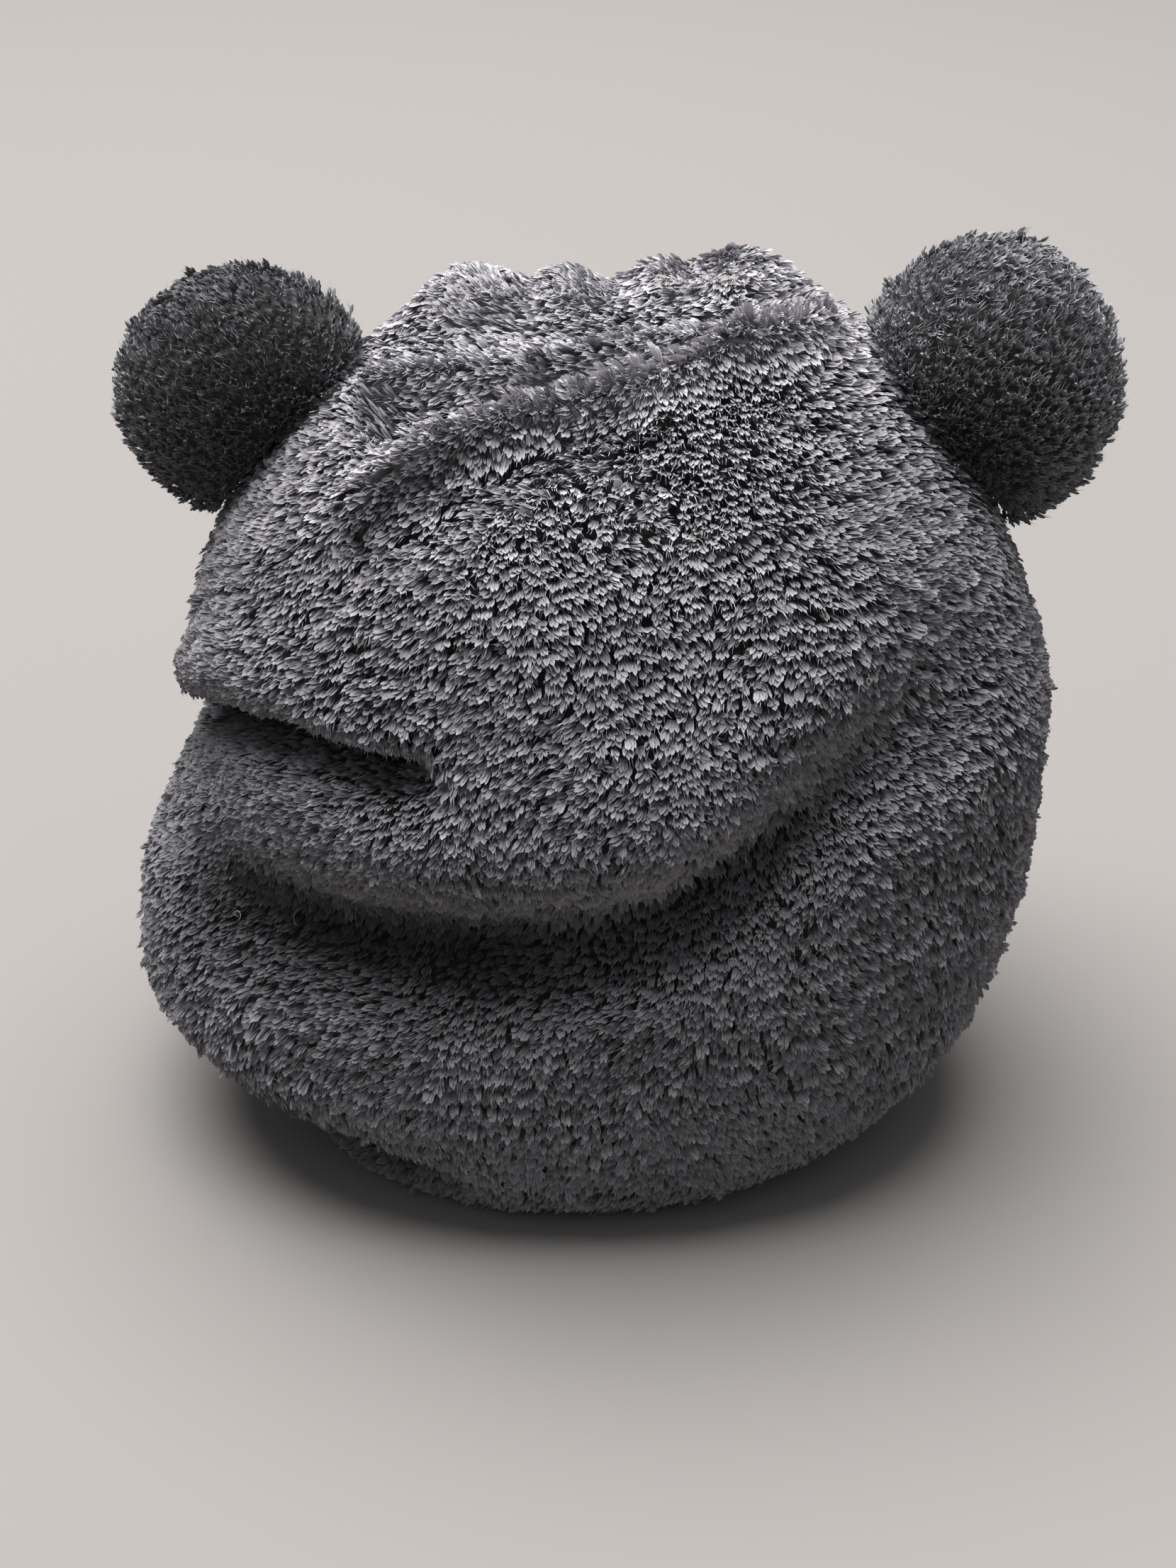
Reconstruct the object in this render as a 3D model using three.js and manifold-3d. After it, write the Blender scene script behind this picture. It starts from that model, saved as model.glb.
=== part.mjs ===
// A baby's hat of teddy fleece with two round ears, standing on its open rim and slumped into soft folds.
// Millimetres and degrees, +Z up. The front faces -Y, and an angle of 0 looks at the front, 90 at +X.
// The origin is under the middle of the whole hat, on the surface that the hem rests on.
import * as THREE from 'three';
import { mergeVertices } from 'three/addons/utils/BufferGeometryUtils.js';
import Module from 'manifold-3d';

const WALL = 8; // fleece backing and pile together
const GAP = 0.3; // between neighbouring pieces
const HEM_TOP = 12; // the height at which the turned-under hem meets the panels
const RING_POWER = 2.2; // 2 is an ellipse, more is squarer
const PANEL_COLUMNS = 36;
const PANEL_ROWS = 24;
const HEM_COLUMNS = 48;
const HEM_ROWS = 2;
const EAR_SEGMENTS = 26;
const EAR_STACKS = 14;
const EAR_POWER = 2.3; // 2 is an ellipsoid, more is a fuller pad
const CROWN_STARTS = [140, 170]; // heights between which the crown's ridges come in
const CROWN_PLACES = [0.4, 0.85]; // places on the wall between which its inner face drops below its outer one
const MIDDLE = [1.25, 0.03]; // moves the middle of the whole hat, ears and all, over the origin

// Horizontal sections of the outer face from the rim to the top seam: their height at the front and the
// back, how far they reach each way, and how much they shear towards the back and rise per mm of x.
const SECTIONS = [
  { zFront: 0, zBack: 0, left: -79, right: 56, front: -64, back: 60, shear: [0, 0], rise: [0, 0] },
  { zFront: 6, zBack: 6, left: -83, right: 65, front: -70, back: 66, shear: [0, 0], rise: [0, 0] },
  { zFront: 12, zBack: 12, left: -86, right: 74, front: -73, back: 70, shear: [0, 0], rise: [0, 0] },
  { zFront: 20, zBack: 20, left: -98, right: 82, front: -76, back: 74, shear: [0, 0], rise: [0, 0] },
  { zFront: 28, zBack: 28, left: -110, right: 88, front: -78, back: 76, shear: [0, 0], rise: [0, 0] },
  { zFront: 42, zBack: 42, left: -117, right: 93, front: -80, back: 78, shear: [0, 0], rise: [0, 0] },
  { zFront: 62, zBack: 62, left: -115, right: 98, front: -80, back: 80, shear: [0, 0], rise: [0, 0] },
  { zFront: 85, zBack: 85, left: -105, right: 100, front: -77, back: 80, shear: [0, 0], rise: [0, 0] },
  { zFront: 107, zBack: 108, left: -98, right: 100, front: -76, back: 79, shear: [0, 0], rise: [0, 0] },
  { zFront: 128, zBack: 132, left: -97, right: 94, front: -71, back: 76, shear: [0, 0], rise: [0, 0] },
  { zFront: 146, zBack: 154, left: -89, right: 85, front: -62, back: 71, shear: [0.03, 0], rise: [0.01, 0] },
  { zFront: 161, zBack: 172, left: -77, right: 72, front: -50, back: 64, shear: [0.1, 0], rise: [0.03, 0] },
  { zFront: 171, zBack: 183, left: -68, right: 61, front: -37, back: 55, shear: [0.2, 0], rise: [0.06, 0.03] },
  { zFront: 178, zBack: 188, left: -60, right: 52, front: -27, back: 44, shear: [0.3, 0], rise: [0.1, 0.05] },
  { zFront: 182, zBack: 188, left: -55, right: 48, front: -17, back: 26, shear: [0.36, 0.2], rise: [0.14, 0.08] },
  { zFront: 183, zBack: 183, left: -47, right: 43, front: -3, back: -3, shear: [0.36, 0.36], rise: [0.17, 0.17] },
];

// Folds round the wall. A path is the angle and height of the groove's bottom. pocket is its depth, lip how
// far the roll above it stands out, droop how far that roll hangs down, above and below the groove's half
// widths, and fade the degrees over which it starts and ends.
const FOLDS = [
  { // the deep crease on the left, under the sagging crown
    path: [[-125, 108], [-90, 104], [-70, 115], [-55, 121], [-40, 123], [-16, 118]],
    pocket: 18, lip: 5, droop: 6, above: 8, below: 8, fade: [25, 16],
  },
  { // the long valley that rises across the front, from the lower left to the right side
    path: [[-68, 72], [-30, 74], [-10, 76], [4, 84], [15, 97], [24, 109], [40, 121], [55, 129], [80, 138]],
    pocket: 16, lip: 5, droop: 3, above: 22, below: 13, fade: [30, 75],
  },
  { // the tuck where the lower roll hangs over the hem on the left
    path: [[-115, 10], [-95, 11], [-60, 21], [-35, 17], [-10, 10]],
    pocket: 9, lip: 0, droop: 0, above: 9, below: 9, fade: [30, 30],
  },
];

// Ridges and dips of the crown, seen from above: a line of x and y, its height and half width.
const RIDGES = [
  { line: [[-56, -37], [-32, -27], [-13, -18], [9, -9], [28, 0], [46, 9]], height: 6.5, width: 5 },
  { line: [[-56, -46], [-34, -37], [-14, -28], [2, -20]], height: -3, width: 5 },
  { line: [[-50, -20], [-30, -15], [-10, -9], [8, -2]], height: -3, width: 6 },
  { line: [[-54, -3], [-24, -1], [-6, 3], [10, 6], [25, 5]], height: 5, width: 5 },
];

// Gathers over the back of the crown, with sharp notches between them: x, height and half width.
const GATHERS = [
  { x: -36, height: 9, width: 13 },
  { x: -13.5, height: 5.5, width: 8 },
  { x: 10, height: 6.5, width: 8 },
  { x: 29, height: 9.5, width: 15 },
];
const GATHER_REACH = [18, 34, 56, 74]; // the y at which they start, are whole, start to end, and end

// The tuck is how far an ear's lower half leans towards +X for each mm down.
const EARS = [
  { name: 'ear_left', centre: [-83.5, 15, 171], radii: [31, 23, 31], tuck: 0.13 },
  { name: 'ear_right', centre: [83, 18, 173], radii: [31.5, 24, 35], tuck: 0 },
];

const PANEL_COLOUR = 0x555456;
const HEM_COLOUR = 0x4a4b4f;
const EAR_COLOUR = 0x47484c;

const radians = (angle) => (angle * Math.PI) / 180;
const mix = (a, b, k) => a + (b - a) * k;
const bell = (x) => Math.exp(-x * x);
const signedPower = (x, power) => Math.sign(x) * Math.abs(x) ** power;

function smooth(from, to, x) {
  const k = Math.min(Math.max((x - from) / (to - from), 0), 1);
  return k * k * (3 - 2 * k);
}

// A curve through the points [x, y] that never overshoots them, read at x.
function curve(points, x) {
  const last = points.length - 1;
  const at = Math.min(Math.max(x, points[0][0]), points[last][0]);
  let i = 0;
  while (i < last - 1 && points[i + 1][0] <= at) i += 1;
  const slope = (j) => (points[j + 1][1] - points[j][1]) / (points[j + 1][0] - points[j][0]);
  const tangent = (j) => {
    if (j === 0) return slope(0);
    if (j === last) return slope(last - 1);
    const before = slope(j - 1);
    const after = slope(j);
    return before * after > 0 ? (2 * before * after) / (before + after) : 0;
  };
  const h = points[i + 1][0] - points[i][0];
  const k = (at - points[i][0]) / h;
  return (2 * k ** 3 - 3 * k ** 2 + 1) * points[i][1]
    + (k ** 3 - 2 * k ** 2 + k) * h * tangent(i)
    + (3 * k ** 2 - 2 * k ** 3) * points[i + 1][1]
    + (k ** 3 - k ** 2) * h * tangent(i + 1);
}

// Where each section lies on the way up the wall, from 0 at the rim to 1 at the top seam.
function sectionPlaces() {
  const sides = [['front', 'zFront'], ['back', 'zBack'], ['right', 'zFront'], ['left', 'zFront']];
  const places = [0];
  for (let i = 1; i < SECTIONS.length; i += 1) {
    const step = (side, height) => Math.hypot(
      SECTIONS[i][side] - SECTIONS[i - 1][side],
      SECTIONS[i][height] - SECTIONS[i - 1][height],
    );
    places.push(places[i - 1] + sides.reduce((sum, [side, height]) => sum + step(side, height), 0));
  }
  return places.map((place) => place / places[places.length - 1]);
}

const PLACES = sectionPlaces();
const sectionCurve = (read) => {
  const points = SECTIONS.map((section, i) => [PLACES[i], read(section)]);
  return (t) => curve(points, t);
};
const wallCurves = {
  zFront: sectionCurve((s) => s.zFront),
  zBack: sectionCurve((s) => s.zBack),
  left: sectionCurve((s) => s.left),
  right: sectionCurve((s) => s.right),
  front: sectionCurve((s) => s.front),
  back: sectionCurve((s) => s.back),
  shearFront: sectionCurve((s) => s.shear[0]),
  shearBack: sectionCurve((s) => s.shear[1]),
  riseFront: sectionCurve((s) => s.rise[0]),
  riseBack: sectionCurve((s) => s.rise[1]),
};

// A half width of the wall's plan, made smaller by the inset, and never less than nothing.
const shrunk = (half, inset) => (half > 0 ? (half * half) / (half + inset) : 0);

// The wall before it folds: its outer face, or with an inset a face that far inside it.
function plainWall(angle, t, inset = 0) {
  const at = Object.fromEntries(Object.entries(wallCurves).map(([name, read]) => [name, read(t)]));
  const sin = Math.sin(radians(angle));
  const cos = Math.cos(radians(angle));
  const across = shrunk((at.right - at.left) / 2, inset) * signedPower(sin, 2 / RING_POWER);
  const along = shrunk((at.back - at.front) / 2, inset) * signedPower(cos, 2 / RING_POWER);
  const backShare = (1 - cos) / 2;
  return new THREE.Vector3(
    (at.left + at.right) / 2 + across,
    (at.front + at.back) / 2 - along + mix(at.shearFront, at.shearBack, backShare) * across,
    mix(at.zFront, at.zBack, backShare) + mix(at.riseFront, at.riseBack, backShare) * across
      - inset * smooth(...CROWN_PLACES, t),
  );
}

const outward = (angle) => new THREE.Vector3(Math.sin(radians(angle)), -Math.cos(radians(angle)), 0);

// How far the folds move the wall at an angle and height: the pockets alone for the inner face.
function folded(angle, height, pocketsOnly) {
  const around = ((angle + 180) % 360) - 180;
  let out = 0;
  let up = 0;
  for (const fold of FOLDS) {
    const start = fold.path[0][0];
    const end = fold.path[fold.path.length - 1][0];
    const share = smooth(start, start + fold.fade[0], around) * (1 - smooth(end - fold.fade[1], end, around));
    const over = height - curve(fold.path, around);
    const groove = over / (over > 0 ? fold.above : fold.below);
    out -= share * fold.pocket * bell(groove / (pocketsOnly ? 0.95 : 0.75));
    if (!pocketsOnly) {
      out += share * fold.lip * bell((over / fold.above - 1.4) / 0.7);
      up -= share * fold.droop * bell((over / fold.above - 0.9) / 0.7);
    }
  }
  return { out, up };
}

function distanceToLine(x, y, line) {
  let nearest = Infinity;
  for (let i = 1; i < line.length; i += 1) {
    const [x0, y0] = line[i - 1];
    const [dx, dy] = [line[i][0] - x0, line[i][1] - y0];
    const share = Math.min(Math.max(((x - x0) * dx + (y - y0) * dy) / (dx * dx + dy * dy), 0), 1);
    nearest = Math.min(nearest, Math.hypot(x - x0 - share * dx, y - y0 - share * dy));
  }
  return nearest;
}

function crownRise(x, y) {
  const [start, whole, ending, end] = GATHER_REACH;
  const reach = smooth(start, whole, y) * (1 - smooth(ending, end, y));
  const ridges = RIDGES.map((ridge) => ridge.height * bell(distanceToLine(x, y, ridge.line) / ridge.width));
  const gathers = GATHERS.map((gather) => gather.height * bell((x - gather.x) / gather.width));
  return ridges.reduce((sum, height) => sum + height, reach * Math.max(...gathers));
}

function outerFace(angle, t) {
  const point = plainWall(angle, t);
  const height = point.z;
  const { out, up } = folded(angle, height, false);
  point.addScaledVector(outward(angle), out);
  point.z += up + smooth(...CROWN_STARTS, height) * crownRise(point.x, point.y);
  return point;
}

function innerFace(angle, t) {
  const { out } = folded(angle, plainWall(angle, t).z, true);
  return plainWall(angle, t, WALL).addScaledVector(outward(angle), out);
}

// The place on the wall whose height, before it folds, is the one given.
function placeAtHeight(height) {
  let [low, high] = [0, 1];
  for (let i = 0; i < 40; i += 1) {
    const middle = (low + high) / 2;
    if (wallCurves.zFront(middle) < height) low = middle;
    else high = middle;
  }
  return low;
}

// Rows from one place on the wall to another, closer together where the folds are.
function rowPlaces(from, to, rows) {
  const steps = 400;
  const sums = [0];
  for (let i = 0; i < steps; i += 1) {
    const height = wallCurves.zFront(mix(from, to, (i + 0.5) / steps));
    sums.push(sums[i] + 1 + 1.5 * bell((height - 112) / 26));
  }
  return Array.from({ length: rows + 1 }, (_, row) => {
    const wanted = (sums[steps] * row) / rows;
    const i = Math.min(Math.max(sums.findIndex((sum) => sum >= wanted), 1), steps);
    return mix(from, to, (i - 1 + (wanted - sums[i - 1]) / (sums[i] - sums[i - 1])) / steps);
  });
}

// A closed solid between two faces that are read over the same angles and rows.
function shell(angles, rows, outer, inner, round) {
  const positions = [];
  const index = [];
  const width = rows.length;
  for (const face of [outer, inner]) {
    for (const angle of angles) for (const row of rows) positions.push(...face(angle, row).toArray());
  }
  const columns = angles.length;
  const at = (face, i, j) => (face * columns + (i % columns)) * width + j;
  const quad = (a, b, c, d) => index.push(a, b, c, a, c, d);
  const spans = round ? columns : columns - 1;
  for (let i = 0; i < spans; i += 1) {
    for (let j = 0; j < width - 1; j += 1) {
      quad(at(0, i, j), at(0, i + 1, j), at(0, i + 1, j + 1), at(0, i, j + 1));
      quad(at(1, i, j), at(1, i, j + 1), at(1, i + 1, j + 1), at(1, i + 1, j));
    }
    quad(at(0, i, 0), at(1, i, 0), at(1, i + 1, 0), at(0, i + 1, 0));
    quad(at(0, i, width - 1), at(0, i + 1, width - 1), at(1, i + 1, width - 1), at(1, i, width - 1));
  }
  for (let j = 0; !round && j < width - 1; j += 1) {
    const end = columns - 1;
    quad(at(0, 0, j), at(0, 0, j + 1), at(1, 0, j + 1), at(1, 0, j));
    quad(at(0, end, j), at(1, end, j), at(1, end, j + 1), at(0, end, j + 1));
  }
  const geometry = new THREE.BufferGeometry();
  geometry.setAttribute('position', new THREE.Float32BufferAttribute(positions, 3));
  geometry.setIndex(index);
  return geometry;
}

const anglesBetween = (from, to, columns) => Array.from(
  { length: columns + 1 },
  (_, i) => mix(from, to, i / columns),
);

const fleece = (color) => new THREE.MeshStandardMaterial({ color, roughness: 0.95, metalness: 0 });

function piece(name, geometry, color) {
  geometry.computeVertexNormals();
  const mesh = new THREE.Mesh(geometry, fleece(color));
  mesh.name = name;
  return mesh;
}

const panelRows = rowPlaces(placeAtHeight(HEM_TOP + GAP), 1, PANEL_ROWS);

// One half of the wall, from the hem to the top seam, moved off the seam by its share of the gap.
function panel(name, from, to, offSeam) {
  const angles = anglesBetween(from, to, PANEL_COLUMNS);
  const mesh = piece(name, shell(angles, panelRows, outerFace, innerFace, false), PANEL_COLOUR);
  mesh.position.y = offSeam;
  return mesh;
}

// The turned-under band that the hat stands on.
function hem() {
  const top = placeAtHeight(HEM_TOP);
  const rows = Array.from({ length: HEM_ROWS + 1 }, (_, row) => (top * row) / HEM_ROWS);
  const angles = anglesBetween(-180, 180, HEM_COLUMNS).slice(0, HEM_COLUMNS);
  return piece('hem', shell(angles, rows, outerFace, innerFace, true), HEM_COLOUR);
}

const wasm = await Module();
wasm.setup();

function toSolid(geometry) {
  const bare = geometry.clone();
  bare.deleteAttribute('normal');
  bare.deleteAttribute('uv');
  const merged = mergeVertices(bare, 1e-3);
  return new wasm.Manifold(new wasm.Mesh({
    numProp: 3,
    vertProperties: new Float32Array(merged.attributes.position.array),
    triVerts: new Uint32Array(merged.index.array),
  }));
}

function toGeometry(solid) {
  const mesh = solid.getMesh();
  const geometry = new THREE.BufferGeometry();
  geometry.setAttribute('position', new THREE.Float32BufferAttribute(mesh.vertProperties, 3));
  geometry.setIndex(new THREE.Uint32BufferAttribute(mesh.triVerts, 1));
  return geometry;
}

// The whole outside of the wall, a gap larger, closed across the rim: what the ears are cut back by.
function wallCutter() {
  const columns = 2 * PANEL_COLUMNS;
  const rows = [0, ...panelRows];
  const top = rows.length - 1;
  const angles = anglesBetween(-180, 180, columns).slice(0, columns);
  const clear = (angle) => outward(angle).multiplyScalar(GAP).setZ(GAP);
  const larger = (angle, t) => outerFace(angle, t).add(clear(angle));
  const positions = angles.flatMap((angle) => rows.flatMap((row) => larger(angle, row).toArray()));
  const rim = positions.length / 3;
  positions.push(0, 0, 0);
  // The front and back columns share their points along the top seam.
  const shared = (column) => Math.min(column, (columns * 1.5 - column) % columns);
  const at = (i, j) => {
    const column = i % columns;
    return (j === top ? shared(column) : column) * rows.length + j;
  };
  const index = [];
  for (let i = 0; i < columns; i += 1) {
    index.push(rim, at(i + 1, 0), at(i, 0));
    for (let j = 0; j < top; j += 1) {
      index.push(at(i, j), at(i + 1, j), at(i + 1, j + 1));
      index.push(at(i, j), at(i + 1, j + 1), at(i, j + 1));
    }
  }
  const geometry = new THREE.BufferGeometry();
  geometry.setAttribute('position', new THREE.Float32BufferAttribute(positions, 3));
  geometry.setIndex(index);
  return toSolid(geometry);
}

// A round pad, fuller than an ellipsoid, with its flat sides to the front and back.
function earPad({ centre, radii, tuck }) {
  const geometry = new THREE.SphereGeometry(1, EAR_SEGMENTS, EAR_STACKS).rotateX(Math.PI / 2);
  const position = geometry.attributes.position;
  const point = new THREE.Vector3();
  for (let i = 0; i < position.count; i += 1) {
    point.fromBufferAttribute(position, i);
    const disc = Math.hypot(point.x, point.z);
    point.divideScalar((disc ** EAR_POWER + Math.abs(point.y) ** EAR_POWER) ** (1 / EAR_POWER));
    const z = point.z * radii[2];
    position.setXYZ(i, point.x * radii[0] + tuck * Math.max(-z, 0), point.y * radii[1], z);
  }
  return geometry.translate(...centre);
}

function ear(place, cutter) {
  return piece(place.name, toGeometry(toSolid(earPad(place)).subtract(cutter)), EAR_COLOUR);
}

const cutter = wallCutter();
const hat = new THREE.Group();
hat.add(panel('front_panel', -90, 90, -GAP / 2));
hat.add(panel('back_panel', 90, 270, GAP / 2));
hat.add(hem());
for (const place of EARS) hat.add(ear(place, cutter));
hat.position.set(MIDDLE[0], MIDDLE[1], 0);

export default hat;
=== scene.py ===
import math

import bpy
import numpy as np
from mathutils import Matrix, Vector
from mathutils.bvhtree import BVHTree


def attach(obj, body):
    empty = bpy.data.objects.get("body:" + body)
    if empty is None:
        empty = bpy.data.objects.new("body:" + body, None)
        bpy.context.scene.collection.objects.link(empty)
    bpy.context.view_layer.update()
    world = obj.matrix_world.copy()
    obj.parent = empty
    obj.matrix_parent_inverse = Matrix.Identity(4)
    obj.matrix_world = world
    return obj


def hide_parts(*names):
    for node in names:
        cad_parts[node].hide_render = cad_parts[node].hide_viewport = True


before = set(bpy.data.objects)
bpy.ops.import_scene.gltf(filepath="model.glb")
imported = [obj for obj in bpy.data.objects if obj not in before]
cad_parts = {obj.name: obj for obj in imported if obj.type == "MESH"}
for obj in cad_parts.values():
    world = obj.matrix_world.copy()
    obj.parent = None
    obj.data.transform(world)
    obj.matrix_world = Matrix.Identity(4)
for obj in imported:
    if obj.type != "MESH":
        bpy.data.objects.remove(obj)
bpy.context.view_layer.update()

# The same hat as the CAD part, in millimetres until a mesh is made. The front faces -Y; an angle of 0 looks at
# the front and 90 at +X; t runs up the wall from 0 at the rim to 1 at the top seam.
MM = 0.001
MIDDLE = np.array([1.25, 0.03, 0.0])
WALL = 8.0
PILE = 5.0  # from the backing to the tips
GROUND_DEPTH = 0.75  # how deep in the pile the knitted ground lies, as a share
HEM_TOP = 12.0
GAP = 0.3
RING_POWER = 2.2
EAR_POWER = 2.3
CROWN_STARTS = (140, 170)
CROWN_PLACES = (0.4, 0.85)

# height at the front and the back, reach to the left, right, front and back, shear and rise at the front and back
SECTIONS = np.array([
    (0, 0, -79, 56, -64, 60, 0, 0, 0, 0),
    (6, 6, -83, 65, -70, 66, 0, 0, 0, 0),
    (12, 12, -86, 74, -73, 70, 0, 0, 0, 0),
    (20, 20, -98, 82, -76, 74, 0, 0, 0, 0),
    (28, 28, -110, 88, -78, 76, 0, 0, 0, 0),
    (42, 42, -117, 93, -80, 78, 0, 0, 0, 0),
    (62, 62, -115, 98, -80, 80, 0, 0, 0, 0),
    (85, 85, -105, 100, -77, 80, 0, 0, 0, 0),
    (107, 108, -98, 100, -76, 79, 0, 0, 0, 0),
    (128, 132, -97, 94, -71, 76, 0, 0, 0, 0),
    (146, 154, -89, 85, -62, 71, 0.03, 0, 0.01, 0),
    (161, 172, -77, 72, -50, 64, 0.1, 0, 0.03, 0),
    (171, 183, -68, 61, -37, 55, 0.2, 0, 0.06, 0.03),
    (178, 188, -60, 52, -27, 44, 0.3, 0, 0.1, 0.05),
    (182, 188, -55, 48, -17, 26, 0.36, 0.2, 0.14, 0.08),
    (183, 183, -47, 43, -3, -3, 0.36, 0.36, 0.17, 0.17),
])
FOLDS = [
    dict(path=[(-125, 108), (-90, 104), (-70, 115), (-55, 121), (-40, 123), (-16, 118)],
         pocket=18, lip=5, droop=6, above=8, below=8, fade=(25, 16)),
    dict(path=[(-68, 72), (-30, 74), (-10, 76), (4, 84), (15, 97), (24, 109), (40, 121), (55, 129), (80, 138)],
         pocket=16, lip=5, droop=3, above=22, below=13, fade=(30, 75)),
    dict(path=[(-115, 10), (-95, 11), (-60, 21), (-35, 17), (-10, 10)],
         pocket=9, lip=0, droop=0, above=9, below=9, fade=(30, 30)),
]
RIDGES = [
    dict(line=[(-56, -37), (-32, -27), (-13, -18), (9, -9), (28, 0), (46, 9)], height=6.5, width=5),
    dict(line=[(-56, -46), (-34, -37), (-14, -28), (2, -20)], height=-3, width=5),
    dict(line=[(-50, -20), (-30, -15), (-10, -9), (8, -2)], height=-3, width=6),
    dict(line=[(-54, -3), (-24, -1), (-6, 3), (10, 6), (25, 5)], height=5, width=5),
]
GATHERS = [(-36, 9, 13), (-13.5, 5.5, 8), (10, 6.5, 8), (29, 9.5, 15)]  # x, height, half width
GATHER_REACH = (18, 34, 56, 74)
SEAM, BACK_RIDGE = RIDGES[0], RIDGES[3]  # the two that the pile stands up on

# The pile is made of locks: narrow leaves of fibre side by side, with thin hairs that fray out of them.
LEAF_RINGS = np.array([(0.25, 0.5), (0.6, 0.95), (0.84, 0.8)])  # place along the leaf, share of its width
LOCK_LEAVES = (-1, 0, 1)
LOCK_HAIRS = 5
LOCK_APART = 2.0
LOCK_RUN = 4.2  # how far along the wall a lock's root is from its tip
MOST_TRIANGLES = 195000  # in one piece of pile
EAR_APART = 1.72
EAR_RUN = 2.3
EAR_PILE_SHARE = (0.6, 0.45)  # how much of the pile the pad leaves room for, and how much stands above it

# The ears' pads are blown up as cloth. Lengths are in mm; the rest is in Blender's own units.
STUFFED_VOXEL = 4.0
STUFFED_FRAMES = 20
STUFFED_PRESSURE = 1500.0
STUFFED_MASS = 0.002
STUFFED_STIFFNESS = 1.5
STUFFED_BENDING = 0.01
STUFFED_CAP = 1.5
CLEAR_OF_WALL = 0.5
SEWN_REACH = (1.5, 8.0)  # the distances from the wall at which the pad is held fast and is free

LINT_STEPS = 10
LINT_RADIUS = 0.09
LINT_LENGTH = 5.0

# an ear's tuck is how far its lower half leans to +X for each mm down, and the last two entries are painted light and
# shade on its pile:
# where its darkest painted shade lies, measured from the centre, and how dark its pile is painted there and how light
# at the rim
EARS = {
    "ear_left": dict(
        centre=(-83.5, 15, 171), radii=(31, 23, 31), tuck=0.13, painted_dark_spot=(10, 0, -2), painted_shades=(0.5, 1.45)),
    "ear_right": dict(
        centre=(83, 18, 173), radii=(31.5, 24, 35), tuck=0.0, painted_dark_spot=(-8, 0, -14), painted_shades=(0.65, 2.6)),
}


def smooth(start, end, x):
    k = np.clip((x - start) / (end - start), 0, 1)
    return k * k * (3 - 2 * k)


def bell(x):
    return np.exp(-x * x)


def curve(points, rows, x):
    """Smooth curves through the rows of a table at those points, which never overshoot them, read at x."""
    points, rows = np.asarray(points, float), np.asarray(rows, float)
    step = np.diff(points)[:, None]
    slope = np.diff(rows, axis=0) / step
    before, after = slope[:-1], slope[1:]
    turn = np.zeros_like(rows)
    total = before + after
    turn[1:-1] = np.where(before * after > 0, 2 * before * after / np.where(total == 0, 1, total), 0)
    turn[0], turn[-1] = slope[0], slope[-1]
    x = np.clip(x, points[0], points[-1])
    i = np.clip(np.searchsorted(points, x, side="right") - 1, 0, len(points) - 2)
    h = step[i, 0][..., None]
    k = (x - points[i])[..., None] / h
    return ((2 * k**3 - 3 * k**2 + 1) * rows[i] + (k**3 - 2 * k**2 + k) * h * turn[i]
            + (3 * k**2 - 2 * k**3) * rows[i + 1] + (k**3 - k**2) * h * turn[i + 1])


def section_places():
    sides = ((4, 0), (5, 1), (3, 0), (2, 0))
    steps = sum(np.hypot(np.diff(SECTIONS[:, side]), np.diff(SECTIONS[:, height])) for side, height in sides)
    places = np.concatenate([[0], np.cumsum(steps)])
    return places / places[-1]


PLACES = section_places()


def plain_wall(angle, t, inset=0.0):
    """The wall before it folds: its outer face, or with an inset a face that far inside it."""
    z_front, z_back, left, right, front, back, shear_f, shear_b, rise_f, rise_b = np.moveaxis(
        curve(PLACES, SECTIONS, t), -1, 0)
    sin, cos = np.sin(np.radians(angle)), np.cos(np.radians(angle))

    def shrunk(half):
        half = np.maximum(half, 0)
        return half * half / np.maximum(half + inset, 1e-9)

    across = shrunk((right - left) / 2) * np.sign(sin) * np.abs(sin) ** (2 / RING_POWER)
    along = shrunk((back - front) / 2) * np.sign(cos) * np.abs(cos) ** (2 / RING_POWER)
    share = (1 - cos) / 2
    return np.stack([
        (left + right) / 2 + across,
        (front + back) / 2 - along + (shear_f * (1 - share) + shear_b * share) * across,
        z_front * (1 - share) + z_back * share + (rise_f * (1 - share) + rise_b * share) * across
        - inset * smooth(*CROWN_PLACES, t),
    ], -1)


def folded(angle, height, pockets_only=False):
    around = (angle + 180) % 360 - 180
    out = np.zeros(np.broadcast(angle, height).shape)
    up = np.zeros_like(out)
    for fold in FOLDS:
        path = np.array(fold["path"], float)
        start, end = path[0, 0], path[-1, 0]
        share = smooth(start, start + fold["fade"][0], around) * (1 - smooth(end - fold["fade"][1], end, around))
        over = height - curve(path[:, 0], path[:, 1:], around)[..., 0]
        groove = over / np.where(over > 0, fold["above"], fold["below"])
        out -= share * fold["pocket"] * bell(groove / (0.95 if pockets_only else 0.75))
        if not pockets_only:
            out += share * fold["lip"] * bell((over / fold["above"] - 1.4) / 0.7)
            up -= share * fold["droop"] * bell((over / fold["above"] - 0.9) / 0.7)
    return out, up


def line_distance(x, y, line):
    nearest = np.full(np.shape(x), 1e9)
    for (x0, y0), (x1, y1) in zip(line[:-1], line[1:]):
        dx, dy = x1 - x0, y1 - y0
        k = np.clip(((x - x0) * dx + (y - y0) * dy) / (dx * dx + dy * dy), 0, 1)
        nearest = np.minimum(nearest, np.hypot(x - x0 - k * dx, y - y0 - k * dy))
    return nearest


def crown_rise(x, y):
    start, whole, ending, end = GATHER_REACH
    reach = smooth(start, whole, y) * (1 - smooth(ending, end, y))
    rise = sum(r["height"] * bell(line_distance(x, y, r["line"]) / r["width"]) for r in RIDGES)
    return rise + reach * np.max([height * bell((x - at) / width) for at, height, width in GATHERS], 0)


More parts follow.
